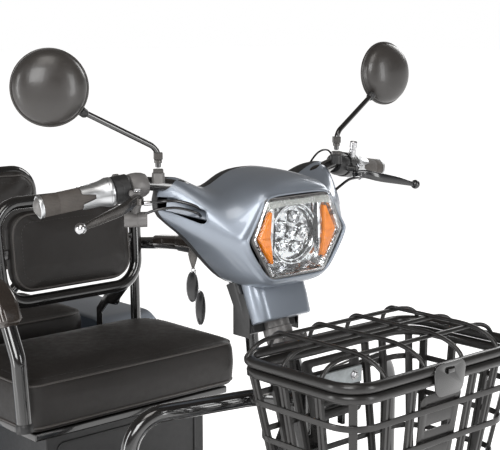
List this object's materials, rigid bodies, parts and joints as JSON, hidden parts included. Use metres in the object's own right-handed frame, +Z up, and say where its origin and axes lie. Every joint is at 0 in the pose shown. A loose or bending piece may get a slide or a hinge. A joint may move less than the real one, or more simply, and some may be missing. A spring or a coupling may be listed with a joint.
{
  "type": "mobility scooter",
  "caption": "Three-wheel electric leisure scooter with a front seat with armrests, a rear bench and a lidded wire basket ahead of the bars.",
  "frame": {"origin": "on the ground, under the centre of the scooter's bounding box", "axes": "+Z up, the scooter faces -Y, the rider's left hand is at +X"},
  "size_m": [0.8499, 1.68, 1.221],
  "materials": {
    "black_paint": "gloss black",
    "body_paint": "metallic silver-blue clear coat",
    "navy_panel": "satin dark navy",
    "vinyl": "semi-gloss grained vinyl",
    "grip_rubber": "ribbed grey-brown rubber",
    "tyre_rubber": "matte",
    "alloy": "cast, satin",
    "steel": "satin",
    "black_plastic": "fine textured",
    "grey_plastic": "satin",
    "mirror_shell": "gloss warm dark grey",
    "clear_lens": "clear polycarbonate",
    "reflector": "vacuum metallised",
    "amber_lens": "translucent amber",
    "red_lens": "translucent red",
    "mirror_glass": "silvered",
    "bronze_plastic": "gloss dark bronze",
    "basket_paint": "satin dark grey"
  },
  "bodies": {
    "chassis": {"main_frame": "black_paint", "floor_pan": "black_plastic", "leg_guard": "black_paint", "seat_box": "black_plastic", "battery_pack": "grey_plastic", "rear_body": "navy_panel", "left_rear_fender": "body_paint", "right_rear_fender": "body_paint", "left_tail_light": "red_lens", "right_tail_light": "red_lens", "rear_backrest_frame": "black_paint", "rear_backrest_cushion": "vinyl", "rear_axle_housing": "black_paint", "basket": "basket_paint", "basket_bracket": "black_paint"},
    "front_seat": {"seat_frame": "black_paint", "seat_cushion": "vinyl"},
    "front_backrest": {"backrest_frame": "black_paint", "backrest_cushion": "vinyl"},
    "left_armrest": {"left_armrest_tube": "black_paint", "left_armrest_pad": "bronze_plastic"},
    "right_armrest": {"right_armrest_tube": "black_paint", "right_armrest_pad": "bronze_plastic"},
    "rear_bench": {"rear_bench_cushion": "vinyl"},
    "lid": {"basket_lid": "basket_paint"},
    "steering": {"fork_yoke": "steel", "cowl_shell": "body_paint", "cowl_rear_cover": "black_plastic", "headlight_lens": "clear_lens", "headlight_reflector": "reflector", "left_indicator": "amber_lens", "right_indicator": "amber_lens", "neck_cover": "body_paint", "stem_collar": "grey_plastic", "handlebar": "black_paint", "left_grip": "grip_rubber", "left_switch_housing": "black_plastic", "right_switch_housing": "black_plastic", "accessory_socket": "grey_plastic"},
    "fork_lower": {"fork_lowers": "steel", "front_fender": "body_paint"},
    "front_wheel": {"front_tyre": "tyre_rubber", "front_rim": "alloy"},
    "left_rear_wheel": {"left_rear_tyre": "tyre_rubber", "left_rear_rim": "alloy"},
    "right_rear_wheel": {"right_rear_tyre": "tyre_rubber", "right_rear_rim": "alloy"},
    "throttle": {"throttle_grip": "grip_rubber"},
    "left_lever": {"left_brake_lever": "black_paint"},
    "right_lever": {"right_brake_lever": "black_paint"},
    "left_mirror_arm": {"left_mirror_stem": "black_paint"},
    "left_mirror": {"left_mirror_head": "mirror_shell", "left_mirror_glass": "mirror_glass"},
    "right_mirror_arm": {"right_mirror_stem": "black_paint"},
    "right_mirror": {"right_mirror_head": "mirror_shell", "right_mirror_glass": "mirror_glass"},
    "ignition": {"ignition_key": "steel"},
    "fob_set": {"key_fobs": "steel"},
    "horn": {"horn_button": "grey_plastic"},
    "pedal": {"brake_pedal": "black_paint"}
  },
  "joints": [
    {"name": "steering_turn", "type": "hinge", "parent": "chassis", "child": "steering", "pos_m": [0, -0.392, 0.75], "axis": [0, 0.3746, 0.9272], "range_deg": [-35, 35]},
    {"name": "front_suspension", "type": "slide", "parent": "steering", "child": "fork_lower", "axis": [0, 0.3746, 0.9272], "range_m": [0, 0.045], "stiffness_N_per_m": 14000, "springref_m": -0.05},
    {"name": "front_wheel_spin", "type": "hinge", "parent": "fork_lower", "child": "front_wheel", "pos_m": [0, -0.65, 0.19], "axis": [1, 0, 0], "continuous": true},
    {"name": "left_rear_wheel_spin", "type": "hinge", "parent": "chassis", "child": "left_rear_wheel", "pos_m": [0.3, 0.53, 0.19], "axis": [1, 0, 0], "continuous": true},
    {"name": "right_rear_wheel_spin", "type": "hinge", "parent": "chassis", "child": "right_rear_wheel", "pos_m": [-0.3, 0.53, 0.19], "axis": [1, 0, 0], "continuous": true},
    {"name": "seat_tilt", "type": "hinge", "parent": "chassis", "child": "front_seat", "pos_m": [0, 0.008, 0.5125], "axis": [-1, 0, 0], "range_deg": [-45, 0]},
    {"name": "backrest_fold", "type": "hinge", "parent": "front_seat", "child": "front_backrest", "pos_m": [0, 0.268, 0.672], "axis": [-1, 0, 0], "range_deg": [0, 35]},
    {"name": "left_armrest_lift", "type": "hinge", "parent": "front_seat", "child": "left_armrest", "pos_m": [0.2735, 0.335, 0.768], "axis": [-1, 0, 0], "range_deg": [0, 100]},
    {"name": "right_armrest_lift", "type": "hinge", "parent": "front_seat", "child": "right_armrest", "pos_m": [-0.2735, 0.335, 0.768], "axis": [-1, 0, 0], "range_deg": [0, 100]},
    {"name": "bench_lift", "type": "hinge", "parent": "chassis", "child": "rear_bench", "pos_m": [0, 0.746, 0.553], "axis": [-1, 0, 0], "range_deg": [0, 55]},
    {"name": "basket_lid_lift", "type": "hinge", "parent": "chassis", "child": "lid", "pos_m": [0, -0.505, 0.759], "axis": [-1, 0, 0], "range_deg": [0, 75]},
    {"name": "throttle_twist", "type": "hinge", "parent": "steering", "child": "throttle", "pos_m": [-0.38, -0.2645, 0.9807], "axis": [-0.9514, 0.27, -0.1479], "range_deg": [0, 60], "stiffness_Nm_per_rad": 0.5, "springref_deg": -5.73},
    {"name": "left_brake_pull", "type": "hinge", "parent": "steering", "child": "left_lever", "pos_m": [0.2487, -0.33976, 0.9866], "axis": [0, 0, 1], "range_deg": [0, 18], "stiffness_Nm_per_rad": 3, "springref_deg": -2.86},
    {"name": "left_mirror_swivel", "type": "hinge", "parent": "steering", "child": "left_mirror_arm", "pos_m": [0.2, -0.33, 1.033], "axis": [0, 0, 1], "range_deg": [-30, 30]},
    {"name": "left_mirror_tilt", "type": "hinge", "parent": "left_mirror_arm", "child": "left_mirror", "pos_m": [0.3659, -0.3, 1.163], "axis": [0.9976, -0.0698, 0], "range_deg": [-12, 12]},
    {"name": "right_brake_pull", "type": "hinge", "parent": "steering", "child": "right_lever", "pos_m": [-0.2487, -0.33976, 0.9866], "axis": [0, 0, -1], "range_deg": [0, 18], "stiffness_Nm_per_rad": 3, "springref_deg": -2.86},
    {"name": "right_mirror_swivel", "type": "hinge", "parent": "steering", "child": "right_mirror_arm", "pos_m": [-0.2, -0.33, 1.033], "axis": [0, 0, 1], "range_deg": [-30, 30]},
    {"name": "right_mirror_tilt", "type": "hinge", "parent": "right_mirror_arm", "child": "right_mirror", "pos_m": [-0.3761, -0.3, 1.163], "axis": [0.8829, -0.4695, 0], "range_deg": [-12, 12]},
    {"name": "key_turn", "type": "hinge", "parent": "steering", "child": "ignition", "pos_m": [-0.07, -0.281, 0.905], "axis": [0, 1, 0], "range_deg": [0, 90]},
    {"name": "fob_swing", "type": "hinge", "parent": "steering", "child": "fob_set", "pos_m": [-0.07, -0.256, 0.892], "axis": [1, 0, 0], "range_deg": [-20, 30]},
    {"name": "horn_press", "type": "slide", "parent": "steering", "child": "horn", "axis": [0, -1, 0], "range_m": [0, 0.0025], "stiffness_N_per_m": 300, "springref_m": -0.002},
    {"name": "pedal_press", "type": "hinge", "parent": "chassis", "child": "pedal", "pos_m": [-0.11, -0.318, 0.196], "axis": [1, 0, 0], "range_deg": [0, 18], "stiffness_Nm_per_rad": 4, "springref_deg": -5.73}
  ]
}
